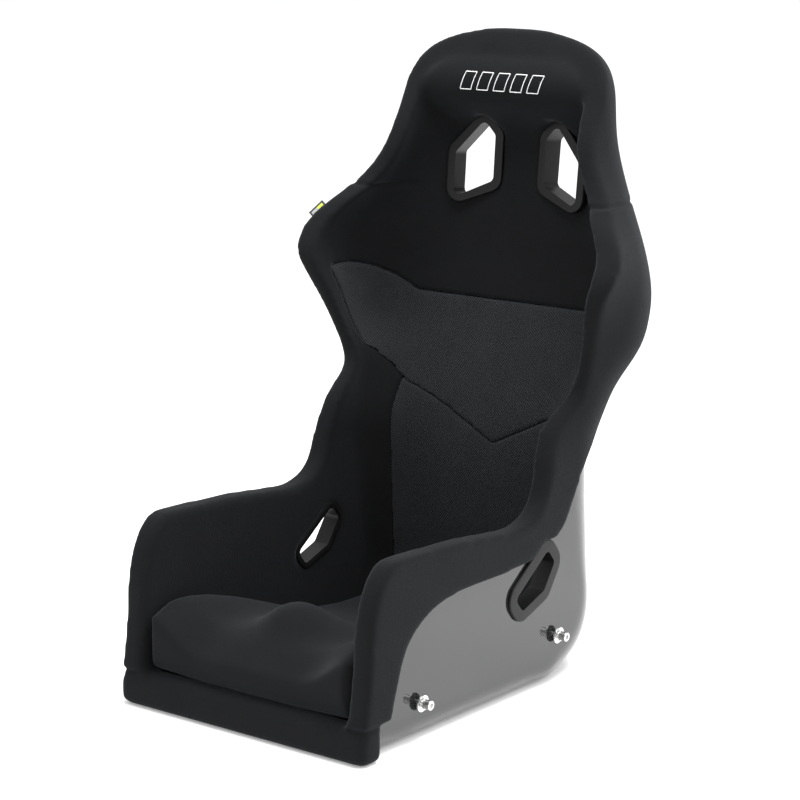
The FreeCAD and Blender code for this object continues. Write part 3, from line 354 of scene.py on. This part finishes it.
def spacer_mesh():
    """Matt mesh cloth, with its rows of holes laid out along the panel's own surface."""
    cloth = Finish("spacer_mesh", Sheen_Weight=0.07, Sheen_Roughness=0.4, Specular_IOR_Level=0.14)
    cloth.shader.inputs["Sheen Tint"].default_value = MESH_SHEEN
    lay = cloth.add("ShaderNodeAttribute", {"attribute_name": "lay"}).outputs["Vector"]
    turned = cloth.add("ShaderNodeMapping", {}, {"Vector": lay, "Rotation": (0, 0, ROW_TURN)})
    cells = cloth.add("ShaderNodeTexVoronoi", {"voronoi_dimensions": "2D"},
                      {"Scale": HOLES_PER_METRE, "Randomness": 0.12, "Vector": turned.outputs[0]})
    hole = 1 - (Amount(cloth, cells.outputs[0]) * 2.0).to(2.2)
    yarn = cloth.grain(2200.0, 2.0)
    cloud = cloth.grain(22.0, 2.0)
    # Painted light and shade: a lit and a shaded copy of the yarn colour, mixed at random.
    lit = cloth.mixed(0.5 * yarn + 0.5 * cloud, MESH_YARN_LIT, MESH_SHADED)
    return cloth.wear(
        Base_Color=cloth.mixed(hole, lit, MESH_BLACK),
        Roughness=0.8 + 0.15 * yarn,
        Normal=cloth.raised(1 - hole, 0.0007, cloth.raised(yarn, 0.0002)),
    )


mesh_black = spacer_mesh()
for node, neighbours in (("shoulder_panel", COVER_NODES + ("lumbar_panel",)),
                         ("lumbar_panel", COVER_NODES + ("shoulder_panel",))):
    panel = foam(node.replace("_", "_mesh_"), [node], PANEL_VOXEL)
    shape = soften(panel, nearest_to(neighbours), PANEL_CRISP_WITHIN, PANEL_ROUNDS)
    lay = shape.verts.layers.float_vector.new("lay")
    back = max(vert.co.y for vert in shape.verts)
    for vert in shape.verts:
        round_the_side = abs(vert.co.x) + SIDE_SPREAD * (back - vert.co.y)
        vert[lay] = Vector((math.copysign(round_the_side, vert.co.x), vert.co.z, 0))
    shape.to_mesh(panel.data)
    shape.free()
    fit(panel, mesh_black, "seat_body", "mesh_fabric", node)

# ---------------------------------------------------------------------------------------------
# The seat cushion: a loose foam block with side lobes, thigh channels and a raised middle, in a
# sewn knit cover. It lies on hook-and-loop strips and lifts straight out.
# ---------------------------------------------------------------------------------------------

# The cushion knit's black, and a lit copy of it that paints light and shade into the cushion's colour.
CUSHION_BLACK = (0.0046, 0.0048, 0.0052, 1)
CUSHION_LIT = (0.0098, 0.0103, 0.0112, 1)
CUSHION_VOXEL = 0.006
CUSHION_ROUNDS = 12
BEFORE_FILLING = 0.004
FILL_FRAMES = 14
MOST_SWELL = 0.006
SIDE_GAP = 0.0005
CORNER_IN_PLAN = 0.034
CORNER_BELOW = 0.020
FRONT_CROWN = 0.009
CROWN_REACH = 0.06


def rounded_corner(across, along, corner_across, corner_along, radius):
    """Pulls a point outside a corner's rounding back onto it; both corner values point outwards."""
    past_across = across - (corner_across - radius)
    past_along = along - (corner_along - radius)
    distance = math.hypot(past_across, past_along)
    if past_across <= 0 or past_along <= 0 or distance <= radius:
        return across, along
    pull = radius / distance
    return corner_across - radius + past_across * pull, corner_along - radius + past_along * pull


cushion = foam("loose_cushion", ["seat_cushion"], CUSHION_VOXEL)
rest = [vert.co.copy() for vert in cushion.data.vertices]
shape = bmesh.new()
shape.from_mesh(cushion.data)
for vert in shape.verts:
    vert.co -= vert.normal * BEFORE_FILLING
shape.to_mesh(cushion.data)
shape.free()
filling = cushion.modifiers.new("filling", "CLOTH")
filling.settings.use_pressure = True
filling.settings.uniform_pressure_force = 4.0
filling.settings.quality = 4
filling.settings.tension_stiffness = 20
filling.settings.effector_weights.gravity = 0
filling.point_cache.frame_start = 1
filling.point_cache.frame_end = FILL_FRAMES
for step in range(1, FILL_FRAMES + 1):
    bpy.context.scene.frame_set(step)
evaluated(cushion)
bpy.context.scene.frame_set(1)
for vert, start in zip(cushion.data.vertices, rest):
    swell = vert.co - start
    if swell.length > MOST_SWELL:
        swell = swell.normalized() * MOST_SWELL
    vert.co = start + swell
base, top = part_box("seat_cushion")
FACE_MIDDLE = (LIP_TOP + top.z) / 2
FACE_HALF = (top.z - LIP_TOP) / 2
shape = bmesh.new()
shape.from_mesh(cushion.data)
smoothed(shape, shape.verts, CUSHION_ROUNDS)
bmesh.ops.subdivide_edges(shape, edges=shape.edges, cuts=1, use_grid_fill=True)
for vert in shape.verts:
    spot = vert.co
    spot.x = min(max(spot.x, base.x + SIDE_GAP), top.x - SIDE_GAP)
    spot.z = max(spot.z, base.z)
    near_front = max(0.0, 1 - (spot.y - base.y) / CROWN_REACH)
    up_the_face = max(0.0, 1 - ((spot.z - FACE_MIDDLE) / FACE_HALF) ** 2)
    spot.y -= FRONT_CROWN * near_front * up_the_face
    wide, front = rounded_corner(abs(spot.x), -spot.y, top.x, FRONT_CROWN - base.y, CORNER_IN_PLAN)
    spot.x, spot.y = math.copysign(wide, spot.x), -front
    if spot.z > LIP_TOP:
        front, down = rounded_corner(-spot.y, -spot.z, -base.y, -LIP_TOP, CORNER_BELOW)
        spot.y, spot.z = -front, -down
smoothed(shape, shape.verts, 2)
for face in shape.faces:
    face.smooth = True
shape.to_mesh(cushion.data)
shape.free()
cushion_knit = knit("cushion_knit", CUSHION_BLACK, CUSHION_LIT)
fit(cushion, cushion_knit, "cushion", "cushion_fabric", "seat_cushion")

# ---------------------------------------------------------------------------------------------
# The bezels: moulded black plastic frames that finish the harness slots, with thin rings behind.
# They are pushed in through the pad and the shell and meet the rings on the far side.
# ---------------------------------------------------------------------------------------------

PLASTIC_BLACK = (0.0035, 0.0035, 0.0038, 1)
PLASTIC_HANDLED = (0.0070, 0.0070, 0.0073, 1)

plastic = Finish("bezel_plastic", IOR=1.5, Specular_IOR_Level=0.22)
spark = plastic.grain(1800.0, 3.0)
handled = plastic.grain(30.0, 4.0)
plastic.wear(
    Base_Color=plastic.mixed(handled, PLASTIC_BLACK, PLASTIC_HANDLED),
    Roughness=0.30 + 0.18 * spark + 0.08 * handled,
    Normal=plastic.raised(spark, 0.00012),
)
for side in ("left", "right"):
    for part in ("shoulder_bezel", "shoulder_ring", "lap_bezel", "lap_ring"):
        node = part + "_" + side
        bezel = copy_of(node, "moulded_" + node)
        fit(bezel, plastic.material, "seat_body", "bezel_plastic", node)

# ---------------------------------------------------------------------------------------------
# The side mounts: M8 cap screws in bright zinc, each with a flat and a spring washer left loose
# for the bracket, run into captive nuts on a steel plate inside the side wall.
# ---------------------------------------------------------------------------------------------

ZINC_DULL = (0.62, 0.62, 0.60, 1)
ZINC_BRIGHT = (0.86, 0.87, 0.87, 1)

zinc = Finish("bright_zinc", Metallic=1.0, IOR=2.0)
plating = zinc.grain(260.0, 4.0)
turning = zinc.grain(1400.0, 2.0)
zinc.wear(
    Base_Color=zinc.mixed(plating, ZINC_DULL, ZINC_BRIGHT),
    Roughness=0.16 + 0.22 * plating,
    Normal=zinc.raised(turning, 0.00006),
)
for side in ("left", "right"):
    for part in ("mount_bolts", "flat_washers", "spring_washers", "mount_plate", "captive_nuts"):
        node = part + "_" + side
        steel = copy_of(node, "zinc_" + node)
        fit(steel, zinc.material, "seat_body", "zinc_steel", node)

# ---------------------------------------------------------------------------------------------
# Hook-and-loop strips: two woven nylon strips of hooks glued to the shell's floor, and two of
# loops sewn under the cushion. They hold the cushion and let it lift out.
# ---------------------------------------------------------------------------------------------

HOOK_TIPS_LIT = (0.03, 0.03, 0.032, 1)
HOOK_ROOTS_SHADED = (0.006, 0.006, 0.007, 1)

tape = Finish("hook_and_loop", Sheen_Weight=0.3, Specular_IOR_Level=0.3)
hook_rows = tape.add("ShaderNodeTexVoronoi", {}, {"Scale": 900.0, "Vector": tape.place()})
hooks = Amount(tape, hook_rows.outputs[0])
# Painted light and shade: the hook tips lighter and the roots darker, for the shade between the hooks.
tape.wear(
    Base_Color=tape.mixed(hooks, HOOK_TIPS_LIT, HOOK_ROOTS_SHADED),
    Roughness=0.75 + 0.2 * hooks,
    Normal=tape.raised(hooks, 0.0008),
)
for node, body in (("hook_strips", "seat_body"), ("loop_strips", "cushion")):
    strip = copy_of(node, "glued_" + node)
    fit(strip, tape.material, body, "hook_loop", node)

# ---------------------------------------------------------------------------------------------
# The side tag: a folded satin label, black with a pale and a yellow-green band, caught in the
# outer seam of the right wing.
# ---------------------------------------------------------------------------------------------

OUTWARDS = (-0.85, 0, 0.53)
TUCKED_IN = 0.0015
SEWN_END = -0.004
BAND_LOW, BAND_HIGH = -0.0024, 0.0020
BAND_HALF_LENGTH = 0.0105
BAND_CHANGE = 0.0005
PALE_BAND = (0.36, 0.37, 0.36, 1)
GREEN_BAND = (0.55, 0.66, 0.06, 1)
BAND_THREAD = (0.08, 0.08, 0.08, 1)
SATIN_BLACK = (0.02, 0.021, 0.022, 1)
skin = BVHTree.FromPolygons([vert.co for vert in cover.data.vertices],
                            [face.vertices for face in cover.data.polygons])
satin = Finish("woven_satin", Sheen_Weight=0.2, Specular_IOR_Level=0.3)
low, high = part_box("side_tag")
label = copy_of("side_tag", "woven_tag")
shape = bmesh.new()
shape.from_mesh(label.data)
centre = (low + high) / 2
folds = [edge for edge in shape.edges if not edge.smooth]
ways = [edge.verts[1].co - edge.verts[0].co for edge in folds]
along = max(ways, key=lambda way: way.length).normalized()
if along.z < 0:
    along = -along
bmesh.ops.bevel(shape, geom=folds, offset=0.0003, segments=2, profile=0.5, affect="EDGES", material=-1)
lay = shape.verts.layers.float_vector.new("lay")
across = Vector(OUTWARDS)
across = (across - along * across.dot(along)).normalized()
for vert in shape.verts:
    vert[lay] = Vector(((vert.co - centre).dot(along), (vert.co - centre).dot(across), 0))
inner = [vert for vert in shape.verts if vert[lay].y < SEWN_END]
gaps = [skin.ray_cast(vert.co, -across)[3] for vert in inner]
gaps = [gap for gap in gaps if gap is not None]
bmesh.ops.translate(shape, verts=shape.verts, vec=-across * (sum(gaps) / len(gaps) + TUCKED_IN))
for face in shape.faces:
    face.smooth = True
shape.to_mesh(label.data)
shape.free()
lay = satin.add("ShaderNodeAttribute", {"attribute_name": "lay"}).outputs["Vector"]
parts = satin.add("ShaderNodeSeparateXYZ", {}, {0: lay})
length, width = Amount(satin, parts.outputs[0]), Amount(satin, parts.outputs[1])
inside = (width - BAND_LOW).above(0) * (BAND_HIGH - width).above(0)
inside = inside * (length + BAND_HALF_LENGTH).above(0) * (BAND_HALF_LENGTH - length).above(0)
warm = length.above(BAND_CHANGE)
weave = satin.add("ShaderNodeTexWave", {"bands_direction": "X"}, {"Scale": 700.0, "Vector": lay})
weft = Amount(satin, weave.outputs[1])
bands = satin.mixed(warm, PALE_BAND, GREEN_BAND)
bands = satin.mixed(weft * 0.3, bands, BAND_THREAD)
satin.wear(
    Base_Color=satin.mixed(inside, SATIN_BLACK, bands),
    Roughness=0.45 + 0.2 * weft,
    Normal=satin.raised(weft, 0.0001),
)
fit(label, satin.material, "seat_body", "tag_weave", "side_tag")

# ---------------------------------------------------------------------------------------------
# The embroidery on the headrest: a plain row of slanted outlines in white satin stitch,
# machine sewn through the knit before the cover is glued down.
# ---------------------------------------------------------------------------------------------

BARS = 5
BAR_PITCH = 0.0290
BAR_WIDTH = 0.0190
BAR_LOW, BAR_HIGH = 0.803, 0.828
SLANT = 0.35
STITCH_WIDTH = 0.0017
STITCH_STEP = 0.0009
STITCH_LAP = 0.62
STITCH_RISE = 0.0004
STITCH_LIFT = 0.4
THREAD_SHADED = (0.72, 0.73, 0.74, 1)
THREAD_WHITE = (0.92, 0.92, 0.92, 1)

thread = Finish("white_thread", Sheen_Weight=0.3, Specular_IOR_Level=0.5)
twist_and_shade = thread.grain(2400.0, 2.0)
# Painted shade: a shaded copy of the white thread, mixed in by the twist noise, which also makes the
# bump.
thread.wear(
    Base_Color=thread.mixed(twist_and_shade, THREAD_SHADED, THREAD_WHITE),
    Roughness=0.45 + 0.2 * twist_and_shade,
    Normal=thread.raised(twist_and_shade, 0.0002),
)


def on_the_pad(x, z, lift):
    """A spot on the head pad's face, lifted off it."""
    spot, normal = skin.ray_cast(Vector((x, -1, z)), Vector((0, 1, 0)))[:2]
    return spot + normal * lift, normal


stitches = bmesh.new()
for bar in range(BARS):
    middle = (bar - (BARS - 1) / 2) * BAR_PITCH
    height = BAR_HIGH - BAR_LOW
    lean = SLANT * height / 2
    corners = [(middle - BAR_WIDTH / 2 - lean, BAR_LOW), (middle + BAR_WIDTH / 2 - lean, BAR_LOW),
               (middle + BAR_WIDTH / 2 + lean, BAR_HIGH), (middle - BAR_WIDTH / 2 + lean, BAR_HIGH)]
    for (x0, z0), (x1, z1) in zip(corners, corners[1:] + corners[:1]):
        run = math.hypot(x1 - x0, z1 - z0)
        steps = max(2, round(run / STITCH_STEP))
        for step in range(steps):
            share = (step + 0.5) / steps
            x, z = x0 + (x1 - x0) * share, z0 + (z1 - z0) * share
            spot, normal = on_the_pad(x, z, STITCH_RISE * STITCH_LIFT)
            way = Vector((x1 - x0, 0, z1 - z0)).normalized()
            cross = normal.cross(way).normalized()
            stitch = bmesh.ops.create_icosphere(stitches, subdivisions=1, radius=1.0)["verts"]
            axes = (way * STITCH_STEP * STITCH_LAP, cross * STITCH_WIDTH / 2, normal * STITCH_RISE)
            laid = Matrix.Translation(spot) @ Matrix(axes).transposed().to_4x4()
            bmesh.ops.transform(stitches, matrix=laid, verts=stitch)
for face in stitches.faces:
    face.smooth = True
bmesh.ops.recalc_face_normals(stitches, faces=stitches.faces)
mesh = bpy.data.meshes.new("headrest_embroidery")
stitches.to_mesh(mesh)
stitches.free()
motif = bpy.data.objects.new("headrest_embroidery", mesh)
bpy.context.scene.collection.objects.link(motif)
motif.data.materials.append(thread.material)
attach(motif, "seat_body")

# ---------------------------------------------------------------------------------------------
# The studio: a white floor, a broad light overhead, a fill on the seat's left, a dark flag behind
# it and out of view, and a camera in front of the seat's left side.
# ---------------------------------------------------------------------------------------------

FLOOR_HALF = 14
UNDER_THE_SEAT = 0.0004
FLOOR_WHITE = (0.94, 0.94, 0.94, 1)
FLOOR_PALE = (0.95, 0.95, 0.95, 1)
FLAG_HALF = 0.9
FLAG_PLACE = (0.35, 2.6, 1.2)
FLAG_BLACK = (0.01, 0.01, 0.01, 1)
FLAG_WORN = (0.02, 0.02, 0.02, 1)


def sheet(name, half, turn, place):
    """A flat square of studio backing, by its half size."""
    shape = bmesh.new()
    bmesh.ops.create_grid(shape, x_segments=1, y_segments=1, size=half)
    bmesh.ops.transform(shape, matrix=Matrix.Translation(place) @ turn, verts=shape.verts)
    mesh = bpy.data.meshes.new(name)
    shape.to_mesh(mesh)
    shape.free()
    backing = bpy.data.objects.new(name, mesh)
    bpy.context.scene.collection.objects.link(backing)
    return backing


floor_level = cad_box[0][2] - UNDER_THE_SEAT
floor = sheet("studio_floor", FLOOR_HALF, Matrix.Identity(4), (0, 0, floor_level))
white = Finish("studio_white", Roughness=0.9, Specular_IOR_Level=0.1, Emission_Strength=0.20)
white.shader.inputs["Emission Color"].default_value = (1, 1, 1, 1)
white.wear(Base_Color=white.mixed(white.grain(2.0), FLOOR_WHITE, FLOOR_PALE))
floor.data.materials.append(white.material)
flag_cloth = Finish("studio_flag", Roughness=0.95, Specular_IOR_Level=0.05)
flag_shade = flag_cloth.mixed(flag_cloth.grain(3.0), FLAG_BLACK, FLAG_WORN)
flag_cloth.wear(Base_Color=flag_shade)
upright = Matrix.Rotation(math.radians(90), 4, "X")
flag = sheet("studio_flag", FLAG_HALF, upright, FLAG_PLACE)
flag.data.materials.append(flag_cloth.material)

world = bpy.data.worlds.new("studio")
bpy.context.scene.world = world
world.use_nodes = True
backdrop = world.node_tree.nodes["Background"]
backdrop.inputs["Color"].default_value = (1, 1, 1, 1)
backdrop.inputs["Strength"].default_value = 1.0
bpy.context.scene.view_settings.view_transform = "Standard"


def softbox(name, place, aim, size, power):
    """A rectangular light of a size and a power, turned from its place towards an aim."""
    lamp = bpy.data.lights.new(name, "AREA")
    lamp.shape = "RECTANGLE"
    lamp.size, lamp.size_y = size
    lamp.energy = power
    box = bpy.data.objects.new(name, lamp)
    bpy.context.scene.collection.objects.link(box)
    box.location = place
    box.rotation_euler = (Vector(aim) - Vector(place)).to_track_quat("-Z", "Y").to_euler()


softbox("overhead", (0.4, 0.1, 2.4), (0, 0, 0.3), (1.8, 1.8), 85)
softbox("right_fill", (2.2, 0.3, 1.9), (0, 0, 0.5), (1.2, 1.2), 22)

AIM = Vector((0.0065, 0.0056, 0.3945))
EYE = Vector((2.0498, -2.6571, 1.1018))
LENS = 112.0
ROLL = math.radians(0.46)
lens = bpy.data.cameras.new("camera")
lens.lens = LENS
lens.sensor_width = 36
camera = bpy.data.objects.new("camera", lens)
bpy.context.scene.collection.objects.link(camera)
camera.location = EYE
facing = (AIM - EYE).to_track_quat("-Z", "Y").to_matrix() @ Matrix.Rotation(ROLL, 3, "Z")
camera.rotation_euler = facing.to_euler()
bpy.context.scene.camera = camera
